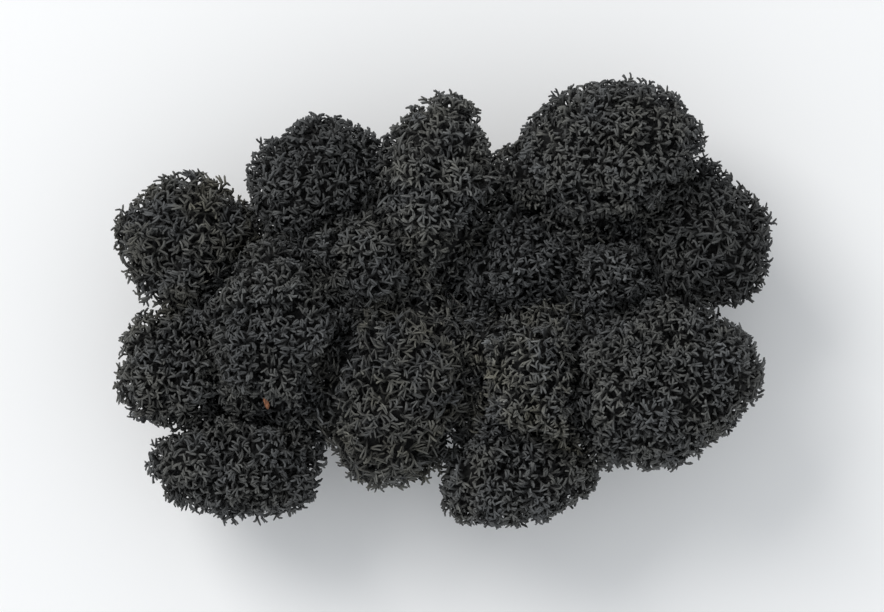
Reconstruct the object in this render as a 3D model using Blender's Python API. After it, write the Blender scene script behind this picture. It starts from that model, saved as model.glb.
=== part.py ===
"""A clump of reindeer moss: rounded heads of forked branch tips, each on its own stems,
pressed together above a smaller base.

Sizes are in millimetres and become metres in one place, at_scale. X runs along the clump,
Y across it and Z up. The lowest stem ends stand on Z = 0.
"""

import math
import random
from collections import namedtuple

import bmesh
import bpy
import numpy as np
from mathutils import Vector

MM = 0.001
SEED = 61

# Each head: place of its middle, height of its top, half length, half width, the turn of its
# long side from X in degrees, the height that its foot ends at, and its share of brown.
Head = namedtuple("Head", "name x y top half_x half_y turn foot brown")
HEADS = (
    Head("head_01", -33.5, 30.0, 51.0, 18.0, 15.0, 25, 4.0, 0.10),
    Head("head_02", -23.5, 12.0, 53.0, 15.5, 15.0, 0, 0.0, 0.35),
    Head("head_03", -46.5, -8.0, 57.0, 18.5, 23.5, -12, 0.0, 0.20),
    Head("head_04", -68.0, 14.5, 50.0, 15.5, 16.5, 0, 4.0, 0.60),
    Head("head_05", -70.0, -17.5, 47.5, 14.0, 15.5, 0, 5.0, 0.40),
    Head("head_06", -14.5, -22.5, 54.5, 18.5, 24.0, -14, 0.0, 0.55),
    Head("head_07", -54.0, -39.5, 47.0, 22.0, 15.5, 8, 4.0, 0.10),
    Head("head_08", -5.5, 27.0, 56.0, 16.5, 21.5, -8, 0.0, 0.25),
    Head("head_09", 39.5, 35.0, 60.0, 26.5, 18.5, 12, 0.0, 0.30),
    Head("head_10", 18.5, 10.5, 49.0, 17.0, 16.5, 0, 0.0, 0.00),
    Head("head_11", 62.0, 16.0, 49.5, 18.5, 16.5, -20, 4.0, 0.15),
    Head("head_12", 40.5, 6.5, 51.5, 14.5, 12.0, 0, 0.0, 0.05),
    Head("head_13", 51.0, -20.0, 58.0, 25.5, 22.0, 25, 0.0, 0.15),
    Head("head_14", 21.5, -21.0, 55.0, 16.5, 20.5, 6, 0.0, 0.75),
    Head("head_15", 16.0, -42.5, 50.5, 19.0, 14.5, 10, 3.0, 0.20),
)

# The dome of a head
TIP_REACH = 3.6
WALL_GAP = 0.3
WALL_KEEP = 0.35
RISE_SHARE, RISE_PLUS = 0.75, 3.0
DOME_SIDES, DOME_RINGS = 12, 5

# 2 would make an oval dome, and more makes it fuller at the shoulder
DOME_POWER = 2.4
LUMP_SHARE = 0.07
PRESSED_ABOVE, PRESSED_BELOW = 40.0, 5.0

# The swelling low down, where the second nearest wall is near for the head's own reach
SKIRT = 0.42
SKIRT_NEAR, SKIRT_FAR = 1.15, 1.9
SKIRT_BELOW, SKIRT_ABOVE = 8.0, 42.0

# The neck is where the stems leave the domes, and BASE_SHARE how far they draw in below it
NECK_Z = 24.0
BASE_SHARE = 0.62
NECK_PART, FOOT_PART = 0.48, 0.37
TRUNK_SIDES = 6
STEMS_A_HEAD = 5
STEM_SIDES = 3
STEM_RADIUS = 1.3
STEM_SPREAD = 0.72

# The forks of branch tips
FORK_SPACING = 7.6
FORK_RADIUS = 1.15
FORK_SINK = 3.2
FORK_SPREAD = 3.0
FORK_PIT = 0.5
LOWEST_FORK = -28.0
ROOM_FOR_FORK = 2.2

# Faces of the union within this many degrees of each other become one
FLAT_WITHIN = 1.2

BLACK = (0.047, 0.048, 0.047)
BROWN = (0.075, 0.066, 0.050)
MOSS_ROUGHNESS = 0.9


def clear_scene():
    for old in list(bpy.data.objects):
        bpy.data.objects.remove(old, do_unlink=True)


def unit(azimuth, elevation):
    """The direction of an azimuth and an elevation, both in radians."""
    flat = math.cos(elevation)
    return np.array([flat * math.cos(azimuth), flat * math.sin(azimuth), math.sin(elevation)])


def smooth_step(low, high, value):
    t = min(1.0, max(0.0, (value - low) / (high - low)))
    return t * t * (3 - 2 * t)


def plan_radius(head, azimuth):
    """How far the head reaches level with its middle, along an azimuth."""
    turned = azimuth - math.radians(head.turn)
    across = math.hypot(head.half_y * math.cos(turned), head.half_x * math.sin(turned))
    return head.half_x * head.half_y / across


def walls_of(head):
    """The upright planes between this head and the others: (direction to it, distance).

    Both heads of a pair get the same plane, so that no two heads can meet.
    """
    walls = []
    for other in HEADS:
        if other is head:
            continue
        away = np.array([other.x - head.x, other.y - head.y])
        apart = float(np.linalg.norm(away))
        azimuth = math.atan2(away[1], away[0])
        own, theirs = plan_radius(head, azimuth), plan_radius(other, azimuth + math.pi)
        walls.append((away / apart, (apart + (own**2 - theirs**2) / apart) / 2))
    return walls


def middle_z(head):
    rise = RISE_SHARE * (head.half_x + head.half_y) / 2 + RISE_PLUS
    return head.top - rise


def lumps(head, azimuth, elevation):
    """The low swellings of a head, which no two heads share."""
    draw = random.Random(SEED + int(head.name[-2:]))
    first, second, third = (draw.uniform(0, 2 * math.pi) for _ in range(3))
    wave = math.sin(3 * azimuth + first) * math.cos(2 * elevation + second)
    return 1 + LUMP_SHARE * (wave + 0.6 * math.sin(5 * azimuth + third) * math.cos(elevation))


def wall_limits(walls, way, keep):
    """How far a line from the head's middle runs before it comes within keep of each wall."""
    return sorted((distance - keep) / max(way[:2] @ to, 1e-6) for to, distance in walls)


def wall_limit(walls, way, keep):
    return wall_limits(walls, way, keep)[0]


def full_radius(head, walls, azimuth, elevation):
    """From the head's middle to the ends of its branch tips.

    Low down the head swells where two walls are near, so that three heads leave no hole.
    """
    height = head.top - middle_z(head)
    if elevation < 0:
        height = middle_z(head) - NECK_Z - 1
    level = math.cos(elevation) / plan_radius(head, azimuth)
    rise = abs(math.sin(elevation)) / height
    cushion = (level**DOME_POWER + rise**DOME_POWER) ** (-1 / DOME_POWER)
    full = lumps(head, azimuth, elevation) * cushion
    second_wall = wall_limits(walls, unit(azimuth, elevation), WALL_GAP / 2)[1]
    near = 1 - smooth_step(SKIRT_NEAR, SKIRT_FAR, second_wall / full)
    low = 1 - smooth_step(SKIRT_BELOW, SKIRT_ABOVE, math.degrees(abs(elevation)))
    return full * (1 + SKIRT * near * low)


def core_radius(head, walls, azimuth, elevation):
    """The dome under the tips. Low on the side where heads meet, it is flat on the wall."""
    way = unit(azimuth, elevation)
    full = full_radius(head, walls, azimuth, elevation)
    wall = wall_limit(walls, way, WALL_GAP / 2)
    dome = min(full - TIP_REACH, wall)
    if wall >= full:
        return dome
    pressed = 1 - smooth_step(PRESSED_BELOW, PRESSED_ABOVE, math.degrees(abs(elevation)))
    return dome + (wall - dome) * pressed


def at_scale(point):
    return Vector([float(value) * MM for value in point])


def closed_object(name, points, faces):
    """A mesh object from points in millimetres, with its faces pointing out."""
    mesh = bpy.data.meshes.new(name)
    body = bmesh.new()
    corners = [body.verts.new(at_scale(point)) for point in points]
    for face in faces:
        body.faces.new([corners[index] for index in face])
    bmesh.ops.recalc_face_normals(body, faces=body.faces)
    bmesh.ops.triangulate(body, faces=body.faces)
    body.to_mesh(mesh)
    body.free()
    return bpy.data.objects.new(name, mesh)


def ring_faces(rings, sides):
    """Quads between rings of points that follow each other in one list."""
    faces = []
    for ring in range(rings - 1):
        for side in range(sides):
            after = (side + 1) % sides
            low, high = ring * sides, (ring + 1) * sides
            faces.append((low + side, low + after, high + after, high + side))
    return faces


def dome(head, walls):
    middle = np.array([head.x, head.y, middle_z(head)])
    points = []
    for ring in range(1, DOME_RINGS + 1):
        elevation = -math.pi / 2 + math.pi * ring / (DOME_RINGS + 1)
        for side in range(DOME_SIDES):
            azimuth = 2 * math.pi * (side + 0.5 * (ring % 2)) / DOME_SIDES
            reach = core_radius(head, walls, azimuth, elevation)
            points.append(middle + unit(azimuth, elevation) * reach)
    faces = ring_faces(DOME_RINGS, DOME_SIDES)
    for first, elevation in ((0, -math.pi / 2), ((DOME_RINGS - 1) * DOME_SIDES, math.pi / 2)):
        pole = middle + unit(0, elevation) * core_radius(head, walls, 0, elevation)
        points.append(pole)
        for side in range(DOME_SIDES):
            after = (side + 1) % DOME_SIDES
            faces.append((first + side, first + after, len(points) - 1))
    return closed_object(head.name, points, faces)


def draw_in(z):
    """The share of its place in plan that a stem keeps at a height."""
    return BASE_SHARE + (1 - BASE_SHARE) * min(1.0, z / NECK_Z)


def tube(name, centres, radii, sides, turn=0.0):
    """A tapered stem with level ends."""
    points = []
    for centre, radius in zip(centres, radii):
        for side in range(sides):
            angle = turn + 2 * math.pi * side / sides
            offset = np.array([math.cos(angle), math.sin(angle), 0]) * radius
            points.append(np.array(centre) + offset)
    faces = ring_faces(len(centres), sides)
    faces.append(tuple(range(sides)))
    faces.append(tuple((len(centres) - 1) * sides + side for side in range(sides)))
    return closed_object(name, points, faces)


def trunk(head):
    """The thick of the stems, from the dome down to a flat foot."""
    slim = min(head.half_x, head.half_y)
    levels = (head.foot, NECK_Z, middle_z(head))
    centres = [(head.x * draw_in(z), head.y * draw_in(z), z) for z in levels]
    radii = (FOOT_PART * slim, NECK_PART * slim, NECK_PART * slim)
    return tube(head.name + "_trunk", centres, radii, TRUNK_SIDES)


def stem(head, walls, number, draw):
    """One stem that leans out from the foot to the underside of the dome."""
    slim = min(head.half_x, head.half_y)
    azimuth = 2 * math.pi * (number + draw.uniform(-0.2, 0.2)) / STEMS_A_HEAD
    way = unit(azimuth, 0)
    low_z = head.foot + draw.uniform(1.0, 4.0)
    high_z = middle_z(head) + 1.0
    reach = min(STEM_SPREAD * plan_radius(head, azimuth), wall_limit(walls, way, 3.0))
    low = np.array([head.x, head.y, 0]) * draw_in(low_z) + way * FOOT_PART * slim * 0.7
    low[2] = low_z
    middle = np.array([head.x, head.y, 0]) * draw_in(NECK_Z - 4) + way * reach * 0.72
    middle[2] = NECK_Z - 4
    high = np.array([head.x, head.y, high_z]) + way * reach * 0.85
    radii = (STEM_RADIUS * 0.8, STEM_RADIUS, STEM_RADIUS)
    name = f"{head.name}_stem_{number}"
    return tube(name, (low, middle, high), radii, STEM_SIDES, turn=azimuth)


def past_wall(head, walls, point):
    """How far a point is past the nearest wall, or minus its distance to it."""
    return max((point[:2] - (head.x, head.y)) @ to - distance for to, distance in walls)


def kept_clear(head, walls, point):
    """The point moved back from every wall that it comes too near, and up off the neck."""
    clear = np.array(point, float)
    for to, distance in walls:
        over = (clear[:2] - (head.x, head.y)) @ to - (distance - WALL_KEEP)
        if over > 0:
            clear[:2] -= to * over
    clear[2] = max(clear[2], NECK_Z + 1)
    return clear


def fork(head, walls, name, root, way, length, draw):
    """A branch end that parts into three tips round a small pit, or None without room."""
    side = np.cross(way, (0.0, 0.0, 1.0) if abs(way[2]) < 0.9 else (1.0, 0.0, 0.0))
    side /= np.linalg.norm(side)
    up = np.cross(way, side)
    turn = draw.uniform(0, 2 * math.pi)
    sixths = [turn + math.pi * step / 3 for step in range(6)]
    around = [math.cos(angle) * side + math.sin(angle) * up for angle in sixths]
    foot = [root - way * FORK_SINK + around[step] * FORK_RADIUS for step in (0, 2, 4)]
    collar = root + way * length * 0.4
    rim = [collar + around[step] * FORK_RADIUS for step in (0, 2, 4)]
    if max(past_wall(head, walls, point) for point in rim) > -WALL_KEEP:
        return None
    tips = []
    for step in (1, 3, 5):
        spread = around[step] * FORK_SPREAD * draw.uniform(0.75, 1.15)
        tip = root + way * length * draw.uniform(0.9, 1.1) + spread
        tips.append(kept_clear(head, walls, tip))
    pit = 6
    faces = [(0, 1, 2)]
    for corner in range(3):
        after, tip = (corner + 1) % 3, pit + 1 + corner
        faces.append((corner, after, 3 + after, 3 + corner))
        faces += [(3 + corner, 3 + after, tip), (3 + after, pit, tip), (pit, 3 + corner, tip)]
    return closed_object(name, foot + rim + [collar + way * FORK_PIT] + tips, faces)


def forks(head, walls, draw):
    """Forks spread evenly over the dome wherever it is free of its neighbours."""
    mean = (head.half_x + head.half_y) / 2
    count = round(4 * math.pi * mean**2 / FORK_SPACING**2)
    golden = math.pi * (3 - math.sqrt(5))
    middle = np.array([head.x, head.y, middle_z(head)])
    made = []
    for number in range(count):
        elevation = math.asin(1 - 2 * (number + 0.5) / count)
        azimuth = number * golden + draw.uniform(-0.12, 0.12)
        way = unit(azimuth, elevation)
        core = core_radius(head, walls, azimuth, elevation)
        room = wall_limit(walls, way, WALL_KEEP) - core
        if math.degrees(elevation) < LOWEST_FORK or room < ROOM_FOR_FORK:
            continue
        length = min(TIP_REACH + 1.2, room + 0.6) * draw.uniform(0.9, 1.1)
        root = middle + way * core
        made.append(fork(head, walls, f"{head.name}_fork_{number}", root, way, length, draw))
    return [piece for piece in made if piece]


def moss_material(head):
    """Black moss, with more brown in the heads that took less dye."""
    material = bpy.data.materials.new(head.name)
    material.use_nodes = True
    surface = material.node_tree.nodes["Principled BSDF"]
    colour = [dark + (brown - dark) * head.brown for dark, brown in zip(BLACK, BROWN)]
    surface.inputs["Base Color"].default_value = (*colour, 1)
    surface.inputs["Roughness"].default_value = MOSS_ROUGHNESS
    surface.inputs["Metallic"].default_value = 0.0
    return material


def drop_scraps(body):
    """Keeps the one body that holds the dome, without any loose scrap."""
    islands, seen = [], set()
    for start in body.faces:
        if start in seen:
            continue
        island, waiting = {start}, [start]
        while waiting:
            face = waiting.pop()
            near = {other for edge in face.edges for other in edge.link_faces} - island
            island |= near
            waiting += near
        seen |= island
        islands.append(island)
    islands.sort(key=len)
    scraps = [face for island in islands[:-1] for face in island]
    bmesh.ops.delete(body, geom=scraps, context="FACES")


def tidy_union(mesh):
    """The same closed body with its flat runs of small triangles made one face each."""
    body = bmesh.new()
    body.from_mesh(mesh)
    drop_scraps(body)
    flat = math.radians(FLAT_WITHIN)
    bmesh.ops.dissolve_limit(body, angle_limit=flat, verts=body.verts, edges=body.edges)
    bmesh.ops.triangulate(body, faces=body.faces)
    body.to_mesh(mesh)
    body.free()


def joined(body, repeats):
    """The dome with its stems and forks as one closed body."""
    bpy.context.scene.collection.objects.link(body)
    group = bpy.data.collections.new(body.name + "_repeats")
    bpy.context.scene.collection.children.link(group)
    for piece in repeats:
        group.objects.link(piece)
    union = body.modifiers.new("Join", "BOOLEAN")
    union.operation = "UNION"
    union.operand_type = "COLLECTION"
    union.collection = group
    union.solver = "MANIFOLD"
    bpy.context.view_layer.update()
    graph = bpy.context.evaluated_depsgraph_get()
    whole = bpy.data.meshes.new_from_object(body.evaluated_get(graph))
    body.modifiers.clear()
    body.data = whole
    tidy_union(whole)
    for piece in repeats:
        bpy.data.objects.remove(piece, do_unlink=True)
    bpy.data.collections.remove(group)


def make_head(head):
    walls = walls_of(head)
    draw = random.Random(SEED * 100 + int(head.name[-2:]))
    body = dome(head, walls)
    repeats = [trunk(head)]
    repeats += [stem(head, walls, number, draw) for number in range(STEMS_A_HEAD)]
    repeats += forks(head, walls, draw)
    joined(body, repeats)
    body.data.materials.clear()
    body.data.materials.append(moss_material(head))
    return body


def centre_in_plan(bodies):
    """Moves the clump so that the middle of its outline is over the origin."""
    corners = np.array([vertex.co for body in bodies for vertex in body.data.vertices])
    middle = (corners.min(axis=0) + corners.max(axis=0)) / 2
    for body in bodies:
        for vertex in body.data.vertices:
            vertex.co.x -= middle[0]
            vertex.co.y -= middle[1]


def main():
    clear_scene()
    centre_in_plan([make_head(head) for head in HEADS])


main()
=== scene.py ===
"""A clump of reindeer moss: heads of finely forked branch tips, their stems, and a studio."""

import itertools
import math
import random
from collections import namedtuple

import bpy
import numpy as np
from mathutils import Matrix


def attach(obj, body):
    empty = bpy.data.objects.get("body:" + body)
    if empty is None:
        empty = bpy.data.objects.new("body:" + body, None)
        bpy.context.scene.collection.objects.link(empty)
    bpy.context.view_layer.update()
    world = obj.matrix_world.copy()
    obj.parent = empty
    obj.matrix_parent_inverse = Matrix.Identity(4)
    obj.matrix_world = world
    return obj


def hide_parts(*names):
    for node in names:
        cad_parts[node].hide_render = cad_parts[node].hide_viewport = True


bl_info = {
    "name": "Reindeer moss clump",
    "version": (1, 0, 0),
    "blender": (4, 5, 0),
    "location": "3D View > Sidebar > Moss",
    "description": "Builds the branched heads of a clump of reindeer moss, and a pale studio",
    "category": "Object",
}

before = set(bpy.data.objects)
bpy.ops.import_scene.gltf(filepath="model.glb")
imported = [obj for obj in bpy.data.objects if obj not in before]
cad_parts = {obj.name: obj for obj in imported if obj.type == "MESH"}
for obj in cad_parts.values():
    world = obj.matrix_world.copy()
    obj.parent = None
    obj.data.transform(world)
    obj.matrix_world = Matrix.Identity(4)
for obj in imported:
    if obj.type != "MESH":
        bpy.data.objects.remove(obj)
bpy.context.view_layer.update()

MM = 0.001
SEED = 61

# Each head: place of its middle, height of its top, half length, half width, the turn of its
# long side from X in degrees, the height that its foot ends at, its share of brown, how open
# its branches are, from 0 to 1, and how bright its tips are
Head = namedtuple("Head", "name x y top half_x half_y turn foot brown open bright")
HEADS = (
    Head("head_01", -33.5, 30.0, 51.0, 18.0, 15.0, 25, 4.0, 0.10, 0.1, 0.88),
    Head("head_02", -23.5, 12.0, 53.0, 15.5, 15.0, 0, 0.0, 0.30, 0.4, 1.1),
    Head("head_03", -46.5, -8.0, 57.0, 18.5, 23.5, -12, 0.0, 0.30, 0.2, 1.03),
    Head("head_04", -68.0, 14.5, 50.0, 15.5, 16.5, 0, 4.0, 0.70, 0.7, 0.88),
    Head("head_05", -70.0, -17.5, 47.5, 14.0, 15.5, 0, 5.0, 0.45, 0.2, 1.12),
    Head("head_06", -14.5, -22.5, 54.5, 18.5, 24.0, -14, 0.0, 0.60, 0.9, 1.04),
    Head("head_07", -54.0, -39.5, 47.0, 22.0, 15.5, 8, 4.0, 0.25, 0.2, 1.0),
    Head("head_08", -5.5, 27.0, 56.0, 16.5, 21.5, -8, 0.0, 0.35, 0.3, 1.25),
    Head("head_09", 39.5, 35.0, 60.0, 26.5, 18.5, 12, 0.0, 0.30, 0.0, 1.08),
    Head("head_10", 18.5, 10.5, 49.0, 17.0, 16.5, 0, 0.0, 0.00, 0.1, 0.93),
    Head("head_11", 62.0, 16.0, 49.5, 18.5, 16.5, -20, 4.0, 0.20, 0.5, 0.77),
    Head("head_12", 40.5, 6.5, 51.5, 14.5, 12.0, 0, 0.0, 0.05, 0.1, 1.02),
    Head("head_13", 51.0, -20.0, 58.0, 25.5, 22.0, 25, 0.0, 0.25, 0.1, 1.13),
    Head("head_14", 21.5, -21.0, 55.0, 16.5, 20.5, 6, 0.0, 0.72, 0.3, 1.3),
    Head("head_15", 16.0, -42.5, 50.5, 19.0, 14.5, 10, 3.0, 0.30, 0.1, 1.18),
)
# How far the middle of the clump's outline lies from the heads' own zero point
OUTLINE_MIDDLE = (-2.872, -1.686)

# The form of a head, in millimetres where it is a length
RISE_SHARE, RISE_PLUS = 0.75, 3.0
# 2 would make an oval dome, and more makes it fuller at the shoulder
DOME_POWER = 2.4
LUMP_SHARE = 0.07
# The swelling low down, where the second nearest wall is near for the head's own reach, from
# SKIRT_BELOW degrees above or below level, where it is full, to SKIRT_ABOVE, where it ends
SKIRT = 0.42
SKIRT_NEAR, SKIRT_FAR = 1.15, 1.9
SKIRT_BELOW, SKIRT_ABOVE = 8.0, 42.0
# How far a head reaches past the plane between it and a neighbour, and how sharp it bends there
WALL_OVERLAP = 0.8
WALL_ROUNDING = 8
# Where stems draw in towards the foot of the clump, and the width of a bundle for its head
NECK_Z = 24.0
BASE_SHARE = 0.62
NECK_PART, FOOT_PART = 0.48, 0.37

# The small lobes of a head, and the crevices beside its neighbours
LOBE_CANDIDATES = 400
LOBE_SPACING = 10.0
LOBE_DEPTH = 3.0
LOBE_UNEVEN = 0.9
LOBE_EDGE = 4.5
LOBE_SWELL = 1.2
CREVICE_DEPTH = 7.0
CREVICE_WIDTH = 3.3
CREVICE_LOW, CREVICE_HIGH = 0.1, 0.6
SHALLOW_CREVICE = 0.38
DEEP_CREVICES = {(3, 6), (3, 7), (6, 7), (6, 14), (6, 15), (8, 10), (9, 10), (9, 12), (13, 15)}
# The share of brightness that tips lose there, as painted shade in the valleys and crevices
VALLEY_SHADE = 0.42
CREVICE_SHADE = 0.78

# The inside of a head, coloured near black as painted shade under the branches
CORE_NEARER = 0.35
CORE_RINGS, CORE_SIDES = 26, 52
CORE_ROUGH = 1.0

# Where the whorls of tips stand: further apart where heads press together and underneath
CANDIDATES_A_WHORL = 40
LOWEST_WHORL = -0.85
UNDERSIDE = -0.3
UNDERSIDE_SPACING = 1.6
PRESSED_SPACING = 1.7
PRESSED_BELOW = 0.12
SPACING_UNEVEN = 0.12

# The whorls. A loose head has wider and longer ones, by these shares
OPEN_SPACING, OPEN_SIZE, OPEN_TIPS = 0.14, 0.22, 0.3
WHORL_TURN = 0.14
WHORL_STEM_TAPER = np.array([1.4, 1.3, 0.0])
# Painted shade along a whorl's stem: the share of its colour's light it keeps, from its root to
# its fork
WHORL_STEM_PAINTED_LIGHT = (0.0, 0.3, 0.55)
# How far round its curl a prong has turned at its points, and at its side tip
PRONG_TURNS = (0, 0.6, 1.6, 2.6, 3.0)
SIDE_TIP_TURN = 0.8
PRONG_TAPER = np.array([1.0, 0.97, 0.9, 0.84, 0.72, 0.0])
# Painted shade along a prong: the share of light it keeps, darker towards its base
PRONG_PAINTED_LIGHT = np.array([0.45, 0.7, 0.9, 0.97, 1.0, 1.0])
# The share of prongs that took less dye, and their tone
PALE_SHARE, PALE_TONE = 0.01, 1.8
SIDE_TIP_TAPER = np.array([0.85, 0.72, 0.0])
# Painted shade along a side tip
SIDE_TIP_PAINTED_LIGHT = (0.86, 0.98, 1.0)

# The stems and their twigs
STEMS_A_HEAD = 26
STEM_POINTS = 9
STEM_SIDES = 5
STEM_SCATTER = 1.5
STRAIGHT_FOOT = 1.3
GOLDEN_TURN = 0.618
TWIGS_A_STEM = 5
TWIG_LENGTH = (2.2, 4.6)
TWIG_TAPER = np.array([1.2, 1.0, 0.85, 0.0])
# Painted shade along a twig, dark as it lies deep under the head
TWIG_PAINTED_LIGHT = (0.45, 0.6, 0.75, 0.8)
TWIG_TIP = 1.3
LOWEST_TWIG = 2.2

# The sprays that stand out from the stems under a head, also into the room among three heads
SPRAYS_A_HEAD = 32
SPRAY_LENGTH = (5.0, 11.0)
SPRAY_POINTS = 6
SPRAY_SAG = 0.22
SPRAY_THICKER = 1.3
SPRAY_TAPER = np.array([1.1, 1.0, 0.9, 0.85, 0.75, 0.0])
SPRAY_FORKS = 3
FORK_LENGTH = (1.8, 3.4)
FORK_TAPER = np.array([1.0, 0.95, 0.8, 0.0])
# Painted shade along a fork of a spray
FORK_PAINTED_LIGHT = (0.5, 0.65, 0.8, 0.8)
SPRAY_KEEP_IN = 0.95
SPRAY_REACH_IN = 0.7
CLOSED_NEAR, CLOSED_FAR = 1.2, 2.2
LOWEST_SPRAY = 0.8
SPRAYS_A_CORNER = 5
CORNER_HEIGHTS = (12.0, 34.0)
CORNER_SCATTER = 2.4
CORNER_REACH = 1.7

# The long strands that lie over the loosest heads
MOST_STRAYS = 10
STRAY_LENGTH = (3.5, 6.5)
STRAY_TAPER = np.array([0.95, 0.95, 0.9, 0.85, 0.75, 0.6, 0.0])

# The scrap of bark: its place in the finished clump, half its length, its radius, how flat it
# is, and how deep it sits among the tips
BARK_PLACE = np.array([-44.6, -24.7])
BARK_HALF, BARK_RADIUS = 1.6, 0.62
BARK_FLATNESS = 0.45
BARK_SUNK = 0.3
BARK_POINTS, BARK_SIDES = 12, 9

# The studio, in metres
KEY_PLACE, KEY_SIZE = (-1.1, 1.1, 1.6), 1.1
KEY_COLOUR = (1.0, 0.985, 0.965)
SKY_COLOUR = (0.94, 0.97, 1.0, 1)
HEADS_Z = 0.045


def unit(vectors):
    return vectors / np.maximum(np.linalg.norm(vectors, axis=-1, keepdims=True), 1e-9)


def smooth_step(low, high, value):
    t = np.clip((value - low) / (high - low), 0, 1)
    return t * t * (3 - 2 * t)


def mean_half(head):
    return (head.half_x + head.half_y) / 2


def middle_z(head):
    return head.top - (RISE_SHARE * mean_half(head) + RISE_PLUS)


def draw_in(z):
    """The share of its place in plan that a stem keeps at a height."""
    return BASE_SHARE + (1 - BASE_SHARE) * min(1.0, z / NECK_Z)


def plan_radius(head, azimuth):
    """How far a head reaches level with its middle, along an azimuth."""
    turned = azimuth - math.radians(head.turn)
    across = np.hypot(head.half_y * np.cos(turned), head.half_x * np.sin(turned))
    return head.half_x * head.half_y / across


def ways_at(lift, azimuth):
    """Directions from the sines of their heights and their azimuths."""
    flat = np.sqrt(1 - lift**2)
    return np.stack([flat * np.cos(azimuth), flat * np.sin(azimuth), lift], axis=1)


def ring_quads(rings, sides):
    """The faces between rings of points that follow one another."""
    now, after = np.arange(sides), (np.arange(sides) + 1) % sides
    low = np.arange(rings - 1)[:, None] * sides
    return np.stack([low + now, low + after, low + sides + after, low + sides + now], 2)


def ring_cap(first, end, sides, turned=False):
    """The triangles between the ring that starts at first and its end point."""
    now, after = first + np.arange(sides), first + (np.arange(sides) + 1) % sides
    if turned:
        now, after = after, now
    return np.stack([now, after, np.full(sides, end)], 1)


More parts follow.
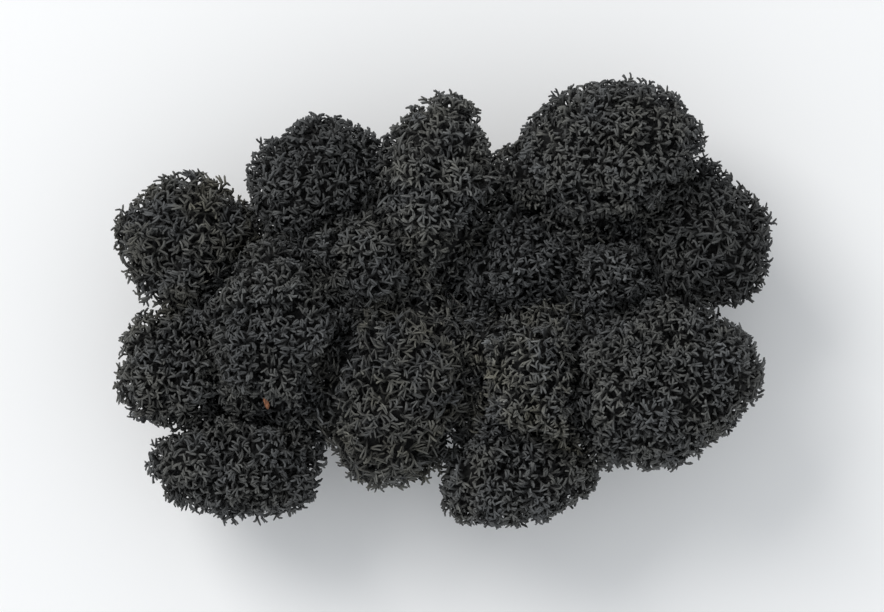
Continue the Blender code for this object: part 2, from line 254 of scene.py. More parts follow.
class HeadForm:
    """The outer form of one head, which its branch tips reach, in its own millimetres."""

    def __init__(self, head):
        self.head = head
        self.number = int(head.name[-2:])
        self.middle = np.array([head.x, head.y, middle_z(head)])
        others = [other for other in HEADS if other is not head]
        self.walls = [self.wall_to(other) for other in others]
        pairs = [tuple(sorted((self.number, int(other.name[-2:])))) for other in others]
        self.crevices = [1.0 if pair in DEEP_CREVICES else SHALLOW_CREVICE for pair in pairs]
        draw = random.Random(SEED + self.number)
        self.phases = [draw.uniform(0, 2 * math.pi) for _ in range(3)]
        self.lobes, self.rises = self.lobe_places()

    def lobe_places(self):
        """Directions to the middles of the small lobes of the head, and how far each rises."""
        draw = np.random.default_rng(SEED * 10 + self.number)
        ways = unit(draw.normal(size=(LOBE_CANDIDATES, 3)))
        chosen = spaced_out(ways * mean_half(self.head), np.full(len(ways), LOBE_SPACING))
        return ways[chosen], draw.uniform(-LOBE_UNEVEN, LOBE_UNEVEN, len(chosen))

    def valley(self, ways):
        """From 0 on a lobe to 1 in the valley beside it, and how far the nearest lobe rises."""
        far = np.linalg.norm(ways[:, None] - self.lobes, axis=2) * mean_half(self.head)
        order = np.argsort(far, axis=1)[:, :2]
        first, second = np.take_along_axis(far, order, axis=1).T
        valley = 1 - smooth_step(0, LOBE_EDGE, second - first)
        own, other = self.rises[order].T
        return valley, own + (other - own) * valley / 2

    def wall_to(self, other):
        """The upright plane that parts this head from another: (direction, distance)."""
        away = np.array([other.x - self.head.x, other.y - self.head.y])
        apart = float(np.linalg.norm(away))
        azimuth = math.atan2(away[1], away[0])
        own = plan_radius(self.head, azimuth)
        theirs = plan_radius(other, azimuth + math.pi)
        return away / apart, (apart + (own**2 - theirs**2) / apart) / 2

    def corners(self):
        """Places in plan where this head and two others meet, in the clump's coordinates."""
        found = []
        for (first, near), (second, far) in itertools.combinations(self.walls, 2):
            both = np.stack([first, second])
            if abs(np.linalg.det(both)) < 0.1:
                continue
            place = np.linalg.solve(both, [near, far])
            reach = plan_radius(self.head, math.atan2(place[1], place[0]))
            inside = all(place @ to <= distance + 0.01 for to, distance in self.walls)
            if inside and np.linalg.norm(place) < CORNER_REACH * reach:
                found.append(place + (self.head.x, self.head.y))
        return found

    def free_reach(self, ways):
        """From the middle to the branch tips, swollen low down where two walls are near."""
        azimuth = np.arctan2(ways[:, 1], ways[:, 0])
        lift = np.clip(ways[:, 2], -1, 1)
        flat = np.sqrt(1 - lift**2)
        first, second, third = self.phases
        wave = np.sin(3 * azimuth + first) * np.cos(2 * np.arcsin(lift) + second)
        lumps = 1 + LUMP_SHARE * (wave + 0.6 * np.sin(5 * azimuth + third) * flat)
        above = self.head.top - self.middle[2]
        height = np.where(lift < 0, self.middle[2] - NECK_Z - 1, above)
        level, rise = flat / plan_radius(self.head, azimuth), np.abs(lift) / height
        free = lumps * (level**DOME_POWER + rise**DOME_POWER) ** (-1 / DOME_POWER)
        near = 1 - smooth_step(SKIRT_NEAR, SKIRT_FAR, self.wall_reaches(ways)[1] / free)
        tilt = np.degrees(np.abs(np.arcsin(lift)))
        return free * (1 + SKIRT * near * (1 - smooth_step(SKIRT_BELOW, SKIRT_ABOVE, tilt)))

    def wall_reaches(self, ways):
        """From the middle to the walls between heads, nearest first."""
        limits = [
            (distance + WALL_OVERLAP) / np.maximum(ways[:, :2] @ to, 1e-3)
            for to, distance in self.walls
        ]
        return np.sort(limits, axis=0)

    def wall_reach(self, ways):
        return self.wall_reaches(ways)[0]

    def crevice(self, ways, reach):
        """From 0 to 1, how deep the crevice beside a neighbour is at each upward direction."""
        flat = ways[:, :2] * reach[:, None]
        room = [(distance - flat @ to) / CREVICE_WIDTH for to, distance in self.walls]
        cut = np.max(
            [
                strength * np.exp(-(np.maximum(gap, 0) ** 2))
                for strength, gap in zip(self.crevices, room)
            ],
            axis=0,
        )
        return cut * smooth_step(CREVICE_LOW, CREVICE_HIGH, ways[:, 2])

    def reach(self, ways):
        """From the middle to the tips, rounded off where two heads press together."""
        free, wall = self.free_reach(ways), self.wall_reach(ways)
        valley, rise = self.valley(ways)
        smooth = (free**-WALL_ROUNDING + wall**-WALL_ROUNDING) ** (-1 / WALL_ROUNDING)
        crevice = CREVICE_DEPTH * self.crevice(ways, smooth)
        return smooth + LOBE_SWELL + rise - LOBE_DEPTH * valley - crevice

    def light(self, ways):
        """The share of their brightness that tips keep, as painted shade: less in valleys and
        crevices.
        """
        crevice = self.crevice(ways, self.reach(ways))
        return (1 - VALLEY_SHADE * self.valley(ways)[0]) * (1 - CREVICE_SHADE * crevice)

    def surface(self, ways, deeper=0.0):
        return self.middle + ways * (self.reach(ways) - deeper)[:, None]

    def normals(self, ways):
        """The direction square to the surface, eased towards the line from the middle."""
        step = 0.06
        side = unit(np.cross(ways, np.roll(ways, 1, axis=1) + (0.3, 0.1, 0.2)))
        over = np.cross(ways, side)
        here = self.surface(ways)
        along = self.surface(unit(ways + side * step)) - here
        across = self.surface(unit(ways + over * step)) - here
        square = unit(np.cross(along, across))
        square *= np.sign((square * ways).sum(axis=1))[:, None]
        return unit(square + 0.5 * ways)


class Strands:
    """Tapered strands gathered for one mesh, with the tone of each point and its share of painted
    light, which is painted shade where it lies deep, in valleys or in crevices.
    """

    def __init__(self):
        self.points, self.quads, self.triangles = [], [], []
        self.shares, self.tones = [], []
        self.total = 0

    def keep(self, points, quads, triangles, shares, tones):
        self.points.append(points.reshape(-1, 3))
        self.quads.append(quads.reshape(-1, 4) + self.total)
        self.triangles.append(triangles.reshape(-1, 3) + self.total)
        self.shares.append(shares.reshape(-1))
        self.tones.append(tones.reshape(-1))
        self.total += len(self.points[-1])

    def add(self, path, radius, sides, shares, tones, flat_start=False):
        """Adds a strand along each path (strands, points, 3). The last point is its tip."""
        path = np.asarray(path, float)
        count, steps = path.shape[:2]
        if not count:
            return
        radius = np.broadcast_to(radius, (count, steps))
        shares = np.broadcast_to(shares, (count, steps))
        tangent = unit(np.gradient(path, axis=1))
        least = np.eye(3)[np.abs(tangent[:, 0]).argmin(axis=1)]
        side = np.cross(tangent[:, 0], least)[:, None, :]
        side = unit(side - (side * tangent).sum(axis=2, keepdims=True) * tangent)
        up = np.cross(tangent, side)
        angle = 2 * np.pi * np.arange(sides) / sides
        spoke = side[:, :, None] * np.cos(angle)[:, None] + up[:, :, None] * np.sin(angle)[:, None]
        rings = (path[:, :, None] + spoke * radius[:, :, None, None])[:, :-1]
        points = [rings.reshape(count, -1, 3), path[:, -1:]]
        ring_shares = np.repeat(shares[:, :-1], sides, axis=1)
        point_shares = [ring_shares, shares[:, -1:]]
        tip = (steps - 1) * sides
        quads = ring_quads(steps - 1, sides)
        triangles = [ring_cap(tip - sides, tip, sides)]
        if flat_start:
            points.append(path[:, :1])
            point_shares.append(shares[:, :1])
            triangles.append(ring_cap(0, tip + 1, sides, turned=True))
        points = np.concatenate(points, axis=1)
        first = (np.arange(count) * points.shape[1])[:, None, None]
        tones = np.broadcast_to(np.asarray(tones)[:, None], points.shape[:2])
        self.keep(
            points,
            quads.reshape(-1, 4)[None] + first,
            np.concatenate(triangles)[None] + first,
            np.concatenate(point_shares, axis=1),
            tones,
        )

    def mesh(self, name):
        """A mesh of all the strands, with the middle of the clump's outline at zero."""
        points = np.concatenate(self.points) - (*OUTLINE_MIDDLE, 0.0)
        quads, triangles = np.concatenate(self.quads), np.concatenate(self.triangles)
        corners = np.concatenate([quads.ravel(), triangles.ravel()]).astype(np.int32)
        starts = np.concatenate(
            [np.arange(len(quads)) * 4, len(quads) * 4 + np.arange(len(triangles)) * 3]
        ).astype(np.int32)
        mesh = bpy.data.meshes.new(name)
        mesh.vertices.add(len(points))
        mesh.vertices.foreach_set("co", (points * MM).astype(np.float32).ravel())
        mesh.loops.add(len(corners))
        mesh.loops.foreach_set("vertex_index", corners)
        mesh.polygons.add(len(starts))
        mesh.polygons.foreach_set("loop_start", starts)
        mesh.update(calc_edges=True)
        # The painted shade of each point, and its random tone
        for label, values in (("painted_depth_shade", self.shares), ("tone", self.tones)):
            kept = mesh.attributes.new(label, "FLOAT", "POINT")
            kept.data.foreach_set("value", np.concatenate(values).astype(np.float32))
        mesh.shade_smooth()
        return mesh


def spaced_out(points, spacing):
    """The points that lie at least their spacing from those already taken."""
    taken = np.empty_like(points)
    chosen = []
    for index, point in enumerate(points):
        near = taken[: len(chosen)] - point
        if not chosen or np.einsum("ij,ij->i", near, near).min() >= spacing[index] ** 2:
            taken[len(chosen)] = point
            chosen.append(index)
    return np.array(chosen)


def whorl_places(form, draw, spacing):
    """Directions from the head's middle to its whorls, evenly spread over the surface."""
    count = int(CANDIDATES_A_WHORL * 3 * math.pi * mean_half(form.head) ** 2 / spacing**2)
    lift = draw.uniform(LOWEST_WHORL, 1, count)
    azimuth = draw.uniform(0, 2 * np.pi, count)
    ways = ways_at(lift, azimuth)
    pressed = (form.wall_reach(ways) < form.free_reach(ways)) & (lift < PRESSED_BELOW)
    wave = np.sin(7 * azimuth + form.phases[0]) * np.sin(9 * lift)
    apart = spacing * (1 + SPACING_UNEVEN * wave)
    apart = np.where(pressed, apart * PRESSED_SPACING, apart)
    apart = np.where(lift < UNDERSIDE, apart * UNDERSIDE_SPACING, apart)
    return ways[spaced_out(form.surface(ways), apart)]


def add_core(strands, form, depth, draw):
    """The dense inside of a head, coloured near black as painted shade, which closes the view
    between the branches.
    """
    lift = np.sin(np.linspace(-np.pi / 2, np.pi / 2, CORE_RINGS + 2)[1:-1])
    azimuth = 2 * np.pi * np.arange(CORE_SIDES) / CORE_SIDES
    lift, azimuth = (grid.ravel() for grid in np.meshgrid(lift, azimuth, indexing="ij"))
    poles = np.array([[0, 0, -1.0], [0, 0, 1.0]])
    ways = np.concatenate([ways_at(lift, azimuth), poles])
    depth = depth * (1 - CORE_NEARER * (1 - smooth_step(0.2, 0.7, np.abs(ways[:, 2]))))
    points = form.surface(ways, depth + draw.uniform(-CORE_ROUGH, CORE_ROUGH, len(ways)))
    quads = ring_quads(CORE_RINGS, CORE_SIDES)
    bottom, top = len(ways) - 2, len(ways) - 1
    last = (CORE_RINGS - 1) * CORE_SIDES
    caps = [ring_cap(0, bottom, CORE_SIDES, turned=True), ring_cap(last, top, CORE_SIDES)]
    # Painted shade: the core keeps none of its colour's light, so it shows near black between the
    # branches
    dark = np.zeros(len(ways))
    strands.keep(points, quads, np.concatenate(caps), dark, draw.uniform(0, 0.4, len(ways)))


def sideways(normal, draw):
    """A unit vector square to each normal, in a random direction, and the one square to both."""
    first = unit(np.cross(normal, draw.normal(size=normal.shape)))
    return first, np.cross(normal, first)


def turned_way(side, over, angle):
    """The direction at each angle round from the first unit vector to the second."""
    return side * np.cos(angle)[:, None] + over * np.sin(angle)[:, None]


def add_tips(strands, root, out, normal, length, radius, tones, draw):
    """One short blunt tip beside each strand."""
    across = np.cross(normal, out) * draw.choice([-1, 1], len(root))[:, None]
    angle = draw.uniform(0.7, 1.3, len(root))[:, None]
    way = out * np.cos(angle) + across * np.sin(angle)
    size = (length * draw.uniform(0.7, 1.2, len(root)))[:, None]
    lift = draw.uniform(0.1, 0.5, len(root))[:, None]
    middle = root + size * (0.8 * way + lift * normal)
    end = middle + size * (0.22 * way + 0.12 * normal)
    path = np.stack([root - 0.2 * size * out, middle, end], axis=1)
    strands.add(path, radius[:, None] * SIDE_TIP_TAPER, 3, SIDE_TIP_PAINTED_LIGHT, tones)


def add_whorls(strands, form, sizes, draw):
    """Stems that rise out of the core and end in curled prongs set round a small pit."""
    open_share = form.head.open
    spacing = sizes.whorl_spacing / MM * (1 + OPEN_SPACING * open_share)
    radius = sizes.strand_radius / MM
    pit = sizes.pit_depth / MM
    core = sizes.core_depth / MM
    ways = whorl_places(form, draw, spacing)
    count = len(ways)
    normal = unit(form.normals(ways) + draw.normal(scale=WHORL_TURN, size=(count, 3)))
    side, over = sideways(normal, draw)
    size = draw.uniform(0.88, 1.18, count) * (1 + OPEN_SIZE * open_share)
    crown = form.surface(ways) + normal * draw.normal(scale=0.3, size=count)[:, None]
    fork = crown - normal * (pit * size)[:, None] + draw.normal(scale=0.15, size=(count, 3))
    root = crown - normal * (core + 1.3) + side * draw.normal(scale=1.0, size=count)[:, None]
    bend = (fork + root) / 2 + over * draw.normal(scale=0.5, size=count)[:, None]
    tones = draw.uniform(0, 1, count)
    # Painted shade: tips in valleys and in crevices beside neighbours keep less of their colour
    painted_lit = form.light(ways)
    stem = np.stack([root, bend, fork + normal * 0.25], axis=1)
    strands.add(stem, radius * WHORL_STEM_TAPER, 3, WHORL_STEM_PAINTED_LIGHT, tones)

    prongs = draw.choice([3, 3, 4, 4], count)
    for number in (3, 4):
        these = np.flatnonzero(prongs == number)
        start = draw.uniform(0, 2 * np.pi, len(these))
        turning = draw.choice([-1, 1], len(these))
        for prong in range(number):
            angle = start + 2 * np.pi * (prong + draw.uniform(-0.16, 0.16, len(these))) / number
            curl = turning * draw.uniform(0.15, 0.75, len(these))
            start_way, low_way, curled_way, far_way, end_way = (
                turned_way(side[these], over[these], angle + turn * curl) for turn in PRONG_TURNS
            )
            side_way = turned_way(side[these], over[these], angle + SIDE_TIP_TURN * curl)
            scale = (size[these] * draw.uniform(0.85, 1.15, len(these)))[:, None]
            wide = scale * spacing * 0.5
            rise = scale * pit * draw.uniform(0.85, 1.1, len(these))[:, None]
            up, base = normal[these], fork[these]
            length = sizes.tip_length / MM * scale * (1 + OPEN_TIPS * open_share)
            first = base - up * 0.25
            second = base + start_way * wide * 0.55 + up * rise * 0.5
            third = base + low_way * wide + up * rise * 0.92
            fourth = third + curled_way * length * 0.5 + up * rise * 0.12
            fifth = fourth + far_way * length * 0.42
            last = fifth + end_way * length * 0.1
            path = np.stack([first, second, third, fourth, fifth, last], axis=1)
            own = np.clip(tones[these] + draw.normal(scale=0.15, size=len(these)), 0, 1)
            own[draw.uniform(0, 1, len(these)) < PALE_SHARE] = PALE_TONE
            thin = radius * draw.uniform(0.85, 1.1, len(these))
            # The prong's painted shade, darker towards its base and in valleys and crevices
            shares = PRONG_PAINTED_LIGHT * painted_lit[these][:, None]
            strands.add(path, thin[:, None] * PRONG_TAPER, 3, shares, own)
            add_tips(strands, third, side_way, up, 0.9 * length[:, 0], thin, own, draw)


def smooth_path(corners, steps):
    """Points along curves that run through rows of corners (strands, corners, 3)."""
    before = 2 * corners[:, :1] - corners[:, 1:2]
    beyond = 2 * corners[:, -1:] - corners[:, -2:-1]
    all_corners = np.concatenate([before, corners, beyond], axis=1)
    spans = corners.shape[1] - 1
    made = []
    for place in np.linspace(0, spans, steps):
        span = min(int(place), spans - 1)
        t = place - span
        a, b, c, d = (all_corners[:, span + step] for step in range(4))
        made.append(
            0.5
            * (
                2 * b
                + (c - a) * t
                + (2 * a - 5 * b + 4 * c - d) * t**2
                + (3 * b - a - 3 * c + d) * t**3
            )
        )
    return np.stack(made, axis=1)


def add_stems(strands, form, sizes, draw):
    """The bundle of thin stems from the foot to the underside of the head, with side twigs."""
    head = form.head
    slim = min(head.half_x, head.half_y)
    azimuth = 2 * np.pi * (np.arange(STEMS_A_HEAD) * GOLDEN_TURN + draw.uniform(0, 1))
    place = np.sqrt((np.arange(STEMS_A_HEAD) + 0.5) / STEMS_A_HEAD)
    out = np.stack([np.cos(azimuth), np.sin(azimuth), np.zeros(STEMS_A_HEAD)], axis=1)
    foot = head.foot + np.where(place < 0.6, 0.0, draw.uniform(0, 1.6, STEMS_A_HEAD))

    def level(z, spread):
        axis = np.array([head.x, head.y]) * np.array([draw_in(value) for value in z])[:, None]
        return np.column_stack([axis, z]) + out * (place * spread)[:, None]

    reach = slim * (0.55 + 0.2 * place)
    corners = np.stack(
        [
            level(foot, slim * FOOT_PART),
            level(foot + 1.2, slim * FOOT_PART),
            level(foot + (NECK_Z - foot) * 0.55, slim * NECK_PART * 0.95),
            level(np.full(STEMS_A_HEAD, NECK_Z - 1.0), slim * NECK_PART * 1.35),
            level(np.full(STEMS_A_HEAD, middle_z(head) + 1.0), reach),
        ],
        axis=1,
    )
    corners[:, 2:4] += draw.normal(scale=STEM_SCATTER, size=(STEMS_A_HEAD, 2, 3))
    path = smooth_path(corners, STEM_POINTS)
    path[:, 1] = path[:, 0] + (0, 0, STRAIGHT_FOOT)
    radius = sizes.stem_radius / MM * draw.uniform(0.75, 1.15, STEMS_A_HEAD)
    taper = np.append(np.linspace(1.0, 0.75, STEM_POINTS - 1), 0.0)
    tones = draw.uniform(0, 1, STEMS_A_HEAD)
    # Painted shade along a stem, darkest up under the head
    shares = np.linspace(0.62, 0.3, STEM_POINTS)
    strands.add(path, radius[:, None] * taper, STEM_SIDES, shares, tones, flat_start=True)
    add_sprays(strands, form, path, out, sizes, draw)

    for _ in range(TWIGS_A_STEM):
        at = draw.integers(2, STEM_POINTS - 2, STEMS_A_HEAD)
        base = path[np.arange(STEMS_A_HEAD), at]
        way = out + draw.normal(scale=0.55, size=out.shape) + (0, 0, 0.55)
        way[:, 2] = np.maximum(way[:, 2], 0.15)
        way = unit(way)
        length = draw.uniform(*TWIG_LENGTH, STEMS_A_HEAD)[:, None]
        turned = unit(way + draw.normal(scale=0.3, size=out.shape) + (0, 0, 0.45))
        end = base + way * length * 0.5 + turned * length * 0.5
        end[:, 2] = np.maximum(end[:, 2], LOWEST_TWIG)
        line = np.stack([base, base + way * length * 0.5, end, end + turned * 0.2], axis=1)
        strands.add(line, sizes.strand_radius / MM * TWIG_TAPER, 3, TWIG_PAINTED_LIGHT, tones)
        side, over = sideways(turned, draw)
        thin = np.full(STEMS_A_HEAD, sizes.strand_radius / MM)
        short = np.full(STEMS_A_HEAD, TWIG_TIP)
        for spoke in (side, over):
            bent = unit(spoke + turned * 0.8)
            add_tips(strands, end, bent, turned, short, thin, tones, draw)


def kept_in(form, points):
    """Points drawn back to the head's own side of the walls, and nearly to its outline in
    plan, but further out where other heads close the room in."""
    scale = np.array([draw_in(z) for z in points[:, 2]])[:, None]
    flat = points[:, :2] / scale - (form.head.x, form.head.y)
    far = np.linalg.norm(flat, axis=1, keepdims=True)
    ways = np.column_stack([flat / np.maximum(far, 1e-6), np.zeros(len(points))])
    near, next_near = form.wall_reaches(ways)[:2]
    free = form.free_reach(ways) * SPRAY_KEEP_IN
    closed_in = 1 - smooth_step(CLOSED_NEAR, CLOSED_FAR, next_near / free)
    limit = np.minimum(near, free * (1 + SPRAY_REACH_IN * closed_in))
    flat *= np.minimum(1, limit[:, None] / np.maximum(far, 1e-6))
    kept = points.copy()
    kept[:, :2] = (flat + (form.head.x, form.head.y)) * scale
    kept[:, 2] = np.maximum(kept[:, 2], LOWEST_SPRAY)
    return kept


def add_sprays(strands, form, stems, out, sizes, draw):
    """Forked side branches that stand out and up from the stems and fill the room below."""
    count = SPRAYS_A_HEAD
    stem = draw.integers(len(stems) // 3, len(stems), count)
    at = draw.integers(3, STEM_POINTS - 1, count)
    way = unit(out[stem] + draw.normal(scale=0.4, size=(count, 3)) * (1, 1, 0))
    rise = draw.uniform(0.35, 0.9, count)[:, None] * (0, 0, 1)
    side = np.cross(way, (0, 0, 1)) * draw.normal(scale=0.25, size=count)[:, None]
    length = draw.uniform(*SPRAY_LENGTH, count)[:, None]
    bases, ends = [stems[stem, at]], [stems[stem, at] + (way + rise + side) * length]
    for corner in form.corners():
        far = np.linalg.norm(stems[:, -3, :2] - corner, axis=1)
        nearest = np.argsort(far)[:SPRAYS_A_CORNER]
        place = draw.normal(scale=CORNER_SCATTER, size=(len(nearest), 3)) + (*corner, 0)
        place[:, 2] = draw.uniform(*CORNER_HEIGHTS, len(nearest))
        bases.append(stems[nearest, draw.integers(3, STEM_POINTS - 1, len(nearest))])
        ends.append(place)
    base, end = np.concatenate(bases), kept_in(form, np.concatenate(ends))
    count = len(base)
    sag = np.array([0, 0, SPRAY_SAG]) * np.linalg.norm(end - base, axis=1)[:, None]
    steps = np.linspace(0, 1, SPRAY_POINTS)
    path = np.stack([base + (end - base) * t - sag * 4 * t * (1 - t) for t in steps], axis=1)
    path[:, :, 2] = np.maximum(path[:, :, 2], LOWEST_SPRAY)
    tones = draw.uniform(0, 0.8, count)
    thick = SPRAY_TAPER * sizes.strand_radius / MM * SPRAY_THICKER
    thin = sizes.strand_radius / MM * FORK_TAPER
    # Painted shade along a spray, darker towards the stem
    strands.add(path, thick, 4, np.linspace(0.45, 0.75, SPRAY_POINTS), tones)
    for place in range(1, SPRAY_POINTS - 1):
        for _ in range(SPRAY_FORKS):
            turned = draw.normal(scale=0.8, size=(count, 3)) + (0, 0, 0.7)
            turned = unit(unit(end - base) + turned)
            size = draw.uniform(*FORK_LENGTH, count)[:, None]
            start = path[:, place]
            middle = kept_in(form, start + turned * size * 0.55)
            tip = kept_in(form, start + (turned + draw.normal(scale=0.25, size=(count, 3))) * size)
            fork = np.stack([start, middle, tip, tip + turned * 0.15], axis=1)
            strands.add(fork, thin, 3, FORK_PAINTED_LIGHT, tones)


def add_stray_strands(strands, form, sizes, draw):
    """Longer curled strands that lie over the tips of a looser head."""
    count = round(MOST_STRAYS * form.head.open)
    if not count:
        return
    lift, azimuth = draw.uniform(0.45, 1.0, count), draw.uniform(0, 2 * np.pi, count)
    ways = ways_at(lift, azimuth)
    normal = form.normals(ways)
    side, over = sideways(normal, draw)
    start = form.surface(ways, 1.5)
    length = draw.uniform(*STRAY_LENGTH, count)[:, None]
    bow = draw.normal(scale=0.9, size=count)[:, None]
    corners = np.stack(
        [
            start,
            start + side * length * 0.3 + normal * 1.7,
            start + side * length * 0.7 + normal * 2.0 + over * bow,
            start + side * length + normal * 1.6 + over * bow * 1.6,
        ],
        axis=1,
    )
    points = len(STRAY_TAPER)
    # Painted shade on the strays, lightest at their ends
    path, shares = smooth_path(corners, points), np.linspace(0.7, 1.0, points)
    radius = sizes.strand_radius / MM * STRAY_TAPER
    strands.add(path, radius, 4, shares, draw.uniform(0.6, 1, count))


def group_tree(name, inputs, outputs):
    """A shader node group with its sockets made, ready for nodes."""
    tree = bpy.data.node_groups.new(name, "ShaderNodeTree")
    for label, kind, value in inputs:
        made = tree.interface.new_socket(label, in_out="INPUT", socket_type=kind)
        made.default_value = value
    for label, kind in outputs:
        tree.interface.new_socket(label, in_out="OUTPUT", socket_type=kind)
    return tree, tree.nodes.new("NodeGroupInput"), tree.nodes.new("NodeGroupOutput")


def node(tree, kind, settings=(), **values):
    """A node with its settings made, and its sockets linked or set by name."""
    made = tree.nodes.new(kind)
    for label, value in dict(settings).items():
        setattr(made, label, value)
    for label, value in values.items():
        socket = made.inputs[label.replace("_", " ")]
        if isinstance(value, bpy.types.NodeSocket):
            tree.links.new(value, socket)
        else:
            socket.default_value = value
    return made


def remapped(tree, value, low, high):
    """A value from 0 to 1 moved to run from low to high."""
    return node(tree, "ShaderNodeMapRange", Value=value, To_Min=low, To_Max=high).outputs[0]


def times(tree, first, second):
    made = node(tree, "ShaderNodeVectorMath", {"operation": "MULTIPLY"})
    tree.links.new(first, made.inputs[0])
    tree.links.new(second, made.inputs[1])
    return made.outputs[0]


def product(tree, first, second):
    made = node(tree, "ShaderNodeMath", {"operation": "MULTIPLY"})
    tree.links.new(first, made.inputs[0])
    tree.links.new(second, made.inputs[1])
    return made.outputs[0]


def dyed_moss_group():
    """Colour, roughness and grain of dyed moss: browner in patches, with painted shade that
    darkens it in its depths, valleys and crevices.
    """
    colour, number = "NodeSocketColor", "NodeSocketFloat"
    tree, given, result = group_tree(
        "Dyed moss",
        (
            ("Dye", colour, (0.06, 0.06, 0.06, 1)),
            ("Brown", colour, (0.1, 0.08, 0.05, 1)),
            ("Brown Share", number, 0.3),
            # The share of its colour kept where the painted shade is deepest
            ("Depth Light", number, 0.1),
            ("Brightness", number, 1.0),
        ),
        (("Color", colour), ("Roughness", number), ("Height", number)),
    )
    place = node(tree, "ShaderNodeTexCoord").outputs["Object"]
    tone = node(tree, "ShaderNodeAttribute", {"attribute_name": "tone"}).outputs["Fac"]
    share = node(tree, "ShaderNodeAttribute", {"attribute_name": "painted_depth_shade"}).outputs["Fac"]
    patches = node(tree, "ShaderNodeTexNoise", Vector=place, Scale=95.0, Detail=3.0)
    patchy = node(
        tree, "ShaderNodeMapRange", Value=patches.outputs[0], From_Min=0.38, From_Max=0.68
    ).outputs[0]
    mix = node(tree, "ShaderNodeMix", {"data_type": "RGBA"})
    tree.links.new(product(tree, patchy, given.outputs["Brown Share"]), mix.inputs[0])
    tree.links.new(given.outputs["Dye"], mix.inputs[6])
    tree.links.new(given.outputs["Brown"], mix.inputs[7])
    grain = node(tree, "ShaderNodeTexNoise", Vector=place, Scale=2600.0, Detail=2.0).outputs[0]
    # Painted shade: the colour darkens steeply with depth among the branches, down to Depth Light
    painted_lit = product(tree, product(tree, share, share), share)
    deep = node(tree, "ShaderNodeMapRange", Value=painted_lit)
    tree.links.new(given.outputs["Depth Light"], deep.inputs["To Min"])
    toned = node(
        tree, "ShaderNodeMapRange", {"clamp": False}, Value=tone, To_Min=0.72, To_Max=1.3
    )
    shade = product(tree, deep.outputs[0], toned.outputs[0])
    shade = product(tree, shade, remapped(tree, grain, 0.75, 1.25))
    shade = product(tree, shade, given.outputs["Brightness"])
    tree.links.new(times(tree, mix.outputs[2], shade), result.inputs["Color"])
    tree.links.new(remapped(tree, grain, 0.7, 0.95), result.inputs["Roughness"])
    tree.links.new(grain, result.inputs["Height"])
    return tree


def moss_material(head, dye, group):
    material = bpy.data.materials.new(f"{head.name} moss")
    material.use_nodes = True
    tree = material.node_tree
    surface = tree.nodes["Principled BSDF"]
    finish = node(
        tree,
        "ShaderNodeGroup",
        {"node_tree": group},
        Dye=(*dye.black, 1),
        Brown=(*dye.brown, 1),
        Brown_Share=head.brown,
        Depth_Light=dye.painted_depth_light,
        Brightness=head.bright,
    )
    grain = finish.outputs["Height"]
    bump = node(tree, "ShaderNodeBump", Height=grain, Strength=0.35, Distance=0.0002)
    tree.links.new(finish.outputs["Color"], surface.inputs["Base Color"])
    tree.links.new(finish.outputs["Roughness"], surface.inputs["Roughness"])
    tree.links.new(bump.outputs["Normal"], surface.inputs["Normal"])
    return material


def bark_material(colour):
    material = bpy.data.materials.new("bark scrap")
    material.use_nodes = True
    tree = material.node_tree
    surface = tree.nodes["Principled BSDF"]
    place = node(tree, "ShaderNodeTexCoord").outputs["Object"]
    stretched = node(tree, "ShaderNodeMapping", Vector=place, Scale=(4200.0, 1100.0, 3000.0))
    noise = node(tree, "ShaderNodeTexNoise", Vector=stretched.outputs[0], Scale=1.0, Detail=4.0)
    grain = node(
        tree, "ShaderNodeMapRange", Value=noise.outputs[0], From_Min=0.32, From_Max=0.68
    ).outputs[0]
    mix = node(tree, "ShaderNodeMix", {"data_type": "RGBA"})
    tree.links.new(grain, mix.inputs[0])
    mix.inputs[6].default_value = (*[part * 0.3 for part in colour], 1)
    mix.inputs[7].default_value = (*[part * 1.4 for part in colour], 1)
    tree.links.new(mix.outputs[2], surface.inputs["Base Color"])
    bump = node(tree, "ShaderNodeBump", Height=grain, Strength=0.5, Distance=0.0003)
    tree.links.new(bump.outputs["Normal"], surface.inputs["Normal"])
    surface.inputs["Roughness"].default_value = 0.75
    return material


def shown(name, mesh, material):
    """An object for the mesh, in the scene's own collection."""
    mesh.materials.append(material)
    piece = bpy.data.objects.new(name, mesh)
    bpy.context.scene.collection.objects.link(piece)
    return piece


class MossSizes(bpy.types.PropertyGroup):
    whorl_spacing: bpy.props.FloatProperty(
        name="Whorl spacing",
        description="Least distance between neighbouring whorls of tips",
        default=0.00242,
        min=0.0015,
        max=0.006,
        precision=5,
        unit="LENGTH",
    )
    strand_radius: bpy.props.FloatProperty(
        name="Strand radius",
        description="Radius of a branch just below its tips",
        default=0.00041,
        min=0.0001,
        max=0.001,
        precision=5,
        unit="LENGTH",
    )
    tip_length: bpy.props.FloatProperty(
        name="Tip length",
        description="Length of the finest forked tips",
        default=0.0015,
        min=0.0003,
        max=0.004,
        precision=5,
        unit="LENGTH",
    )
    pit_depth: bpy.props.FloatProperty(
        name="Pit depth",
        description="Depth of the pit that a whorl's prongs stand round",
        default=0.002,
        min=0.0005,
        max=0.004,
        precision=5,
        unit="LENGTH",
    )
    core_depth: bpy.props.FloatProperty(
        name="Core depth",
        description="How far the dark inside of a head lies below its tips",
        default=0.0048,
        min=0.002,
        max=0.01,
        precision=5,
        unit="LENGTH",
    )
    stem_radius: bpy.props.FloatProperty(
        name="Stem radius",
        description="Radius of a stem at its foot",
        default=0.00085,
        min=0.0003,
        max=0.002,
        precision=5,
        unit="LENGTH",
    )


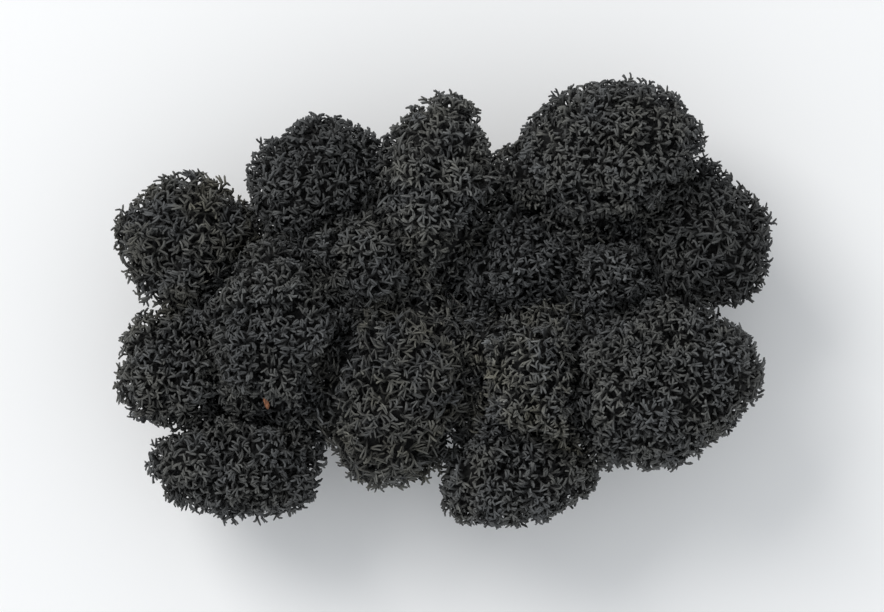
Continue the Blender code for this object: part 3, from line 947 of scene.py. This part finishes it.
class MossDye(bpy.types.PropertyGroup):
    black: bpy.props.FloatVectorProperty(
        name="Dye",
        description="Colour of moss that took all the dye",
        default=(0.0855, 0.0887, 0.0903),
        min=0,
        max=1,
        subtype="COLOR",
    )
    brown: bpy.props.FloatVectorProperty(
        name="Brown",
        description="Colour of moss that took less of the dye",
        default=(0.138, 0.129, 0.093),
        min=0,
        max=1,
        subtype="COLOR",
    )
    bark: bpy.props.FloatVectorProperty(
        name="Bark",
        description="Colour of the scrap of bark caught in the moss",
        default=(0.2, 0.075, 0.03),
        min=0,
        max=1,
        subtype="COLOR",
    )
    # Painted shade: the share of its colour that the moss keeps deepest among the branches
    painted_depth_light: bpy.props.FloatProperty(
        name="Depth light",
        description="Share of its colour that the moss keeps deep between the branches",
        default=0.012,
        min=0,
        max=1,
        subtype="FACTOR",
    )


class MossStudio(bpy.types.PropertyGroup):
    floor_colour: bpy.props.FloatVectorProperty(
        name="Floor",
        description="Colour of the pale floor",
        default=(0.93, 0.93, 0.93),
        min=0,
        max=1,
        subtype="COLOR",
    )
    floor_size: bpy.props.FloatProperty(
        name="Floor size",
        description="Side of the square floor",
        default=4.0,
        min=0.5,
        unit="LENGTH",
    )
    key_power: bpy.props.FloatProperty(
        name="Key light",
        description="Power of the large soft light at the upper left",
        default=24.0,
        min=0,
        unit="POWER",
    )
    sky_strength: bpy.props.FloatProperty(
        name="Sky",
        description="Strength of the even light from all round",
        default=0.76,
        min=0,
    )
    camera_height: bpy.props.FloatProperty(
        name="Camera height",
        description="Height of the camera straight above the clump",
        default=1.2,
        min=0.3,
        unit="LENGTH",
    )
    view_width: bpy.props.FloatProperty(
        name="View width",
        description="Width that the picture takes in, at the heads",
        default=0.225,
        min=0.05,
        unit="LENGTH",
    )


class MOSS_OT_heads(bpy.types.Operator):
    """Build every head of the clump, with its whorls of tips, its core and its stems"""

    bl_idname = "moss.heads"
    bl_label = "Moss heads"

    def execute(self, context):
        sizes, dye = context.scene.moss_sizes, context.scene.moss_dye
        group = dyed_moss_group()
        for head in HEADS:
            if head.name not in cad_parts:
                raise RuntimeError(f"the frame has no node {head.name}")
            form, strands = HeadForm(head), Strands()
            draw = np.random.default_rng(SEED * 100 + form.number)
            add_core(strands, form, sizes.core_depth / MM, draw)
            add_whorls(strands, form, sizes, draw)
            add_stray_strands(strands, form, sizes, draw)
            add_stems(strands, form, sizes, draw)
            name = f"{head.name}_moss"
            piece = shown(name, strands.mesh(name), moss_material(head, dye, group))
            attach(piece, "root")
            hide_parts(head.name)
        return {"FINISHED"}


class MOSS_OT_bark_scrap(bpy.types.Operator):
    """Lay the small scrap of bark among the tips of the head that caught it"""

    bl_idname = "moss.bark_scrap"
    bl_label = "Bark scrap"

    def execute(self, context):
        carrier = bpy.data.objects.get("head_03_moss")
        if carrier is None:
            raise RuntimeError("build the moss heads before the scrap of bark")
        under = []
        for offset in ((0, 0), (1.2, 0), (-1.2, 0), (0, 1.2), (0, -1.2)):
            start = (*((BARK_PLACE + offset) * MM), 0.2)
            found, spot, _, _ = carrier.ray_cast(start, (0, 0, -1))
            if found:
                under.append(spot[2] / MM)
        if not under:
            raise RuntimeError("the scrap of bark has no moss under it")
        middle = np.array([*(BARK_PLACE + OUTLINE_MIDDLE), max(under) - BARK_SUNK])
        draw = random.Random(SEED)
        along, bow = unit(np.array([0.35, -1.0, 0.15])), np.array([0.25, 0.1, 0.2])
        steps = np.linspace(-1, 1, BARK_POINTS)
        path = middle + steps[:, None] * along * BARK_HALF + (1 - steps[:, None] ** 2) * bow
        ragged = np.array([draw.uniform(0.72, 1.15) for _ in steps])
        radius = BARK_RADIUS * ragged * np.maximum(1.04 - steps**4, 0.0)
        strands = Strands()
        strands.add(path[None], radius[None], BARK_SIDES, 1.0, [0.5], flat_start=True)
        chip = strands.points[0]
        chip[:, 2] = middle[2] + (chip[:, 2] - middle[2]) * BARK_FLATNESS
        chip += [[draw.uniform(-0.07, 0.07) for _ in range(3)] for _ in chip]
        material = bark_material(context.scene.moss_dye.bark)
        piece = shown("bark_scrap", strands.mesh("bark_scrap"), material)
        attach(piece, "root")
        return {"FINISHED"}


class MOSS_OT_studio(bpy.types.Operator):
    """Set out the pale floor, the soft light and the camera straight above"""

    bl_idname = "moss.studio"
    bl_label = "Studio"

    def execute(self, context):
        studio, scene = context.scene.moss_studio, context.scene
        half = studio.floor_size / 2
        mesh = bpy.data.meshes.new("floor")
        corners = [(-half, -half, 0), (half, -half, 0), (half, half, 0), (-half, half, 0)]
        mesh.from_pydata(corners, [], [(0, 1, 2, 3)])
        paint = bpy.data.materials.new("floor")
        paint.use_nodes = True
        surface = paint.node_tree.nodes["Principled BSDF"]
        surface.inputs["Base Color"].default_value = (*studio.floor_colour, 1)
        surface.inputs["Roughness"].default_value = 0.9
        shown("floor", mesh, paint)

        key = bpy.data.lights.new("key", "AREA")
        key.energy, key.size, key.color = studio.key_power, KEY_SIZE, KEY_COLOUR
        lamp = bpy.data.objects.new("key", key)
        lamp.location = KEY_PLACE
        lamp.rotation_euler = (-lamp.location).to_track_quat("-Z", "Y").to_euler()
        scene.collection.objects.link(lamp)

        world = bpy.data.worlds.new("studio")
        world.use_nodes = True
        sky = world.node_tree.nodes["Background"]
        sky.inputs["Color"].default_value = SKY_COLOUR
        sky.inputs["Strength"].default_value = studio.sky_strength
        scene.world = world
        scene.view_settings.view_transform = "Standard"

        camera = bpy.data.cameras.new("camera")
        far = studio.camera_height - HEADS_Z
        camera.lens = camera.sensor_width * far / studio.view_width
        eye = bpy.data.objects.new("camera", camera)
        eye.location = (0, 0, studio.camera_height)
        scene.collection.objects.link(eye)
        scene.camera = eye
        return {"FINISHED"}


class MOSS_PT_clump(bpy.types.Panel):
    bl_label = "Reindeer moss"
    bl_idname = "MOSS_PT_clump"
    bl_space_type = "VIEW_3D"
    bl_region_type = "UI"
    bl_category = "Moss"

    def draw(self, context):
        for settings in ("moss_sizes", "moss_dye", "moss_studio"):
            group = getattr(context.scene, settings)
            for label in group.__annotations__:
                self.layout.prop(group, label)
        for operator in OPERATORS:
            self.layout.operator(operator.bl_idname)


OPERATORS = (MOSS_OT_heads, MOSS_OT_bark_scrap, MOSS_OT_studio)
CLASSES = (MossSizes, MossDye, MossStudio, *OPERATORS, MOSS_PT_clump)


def register():
    for kind in CLASSES:
        bpy.utils.register_class(kind)
    bpy.types.Scene.moss_sizes = bpy.props.PointerProperty(type=MossSizes)
    bpy.types.Scene.moss_dye = bpy.props.PointerProperty(type=MossDye)
    bpy.types.Scene.moss_studio = bpy.props.PointerProperty(type=MossStudio)


def unregister():
    del bpy.types.Scene.moss_studio
    del bpy.types.Scene.moss_dye
    del bpy.types.Scene.moss_sizes
    for kind in reversed(CLASSES):
        bpy.utils.unregister_class(kind)


def main():
    register()
    bpy.ops.moss.heads()
    bpy.ops.moss.bark_scrap()
    bpy.ops.moss.studio()


if __name__ == "__main__":
    main()
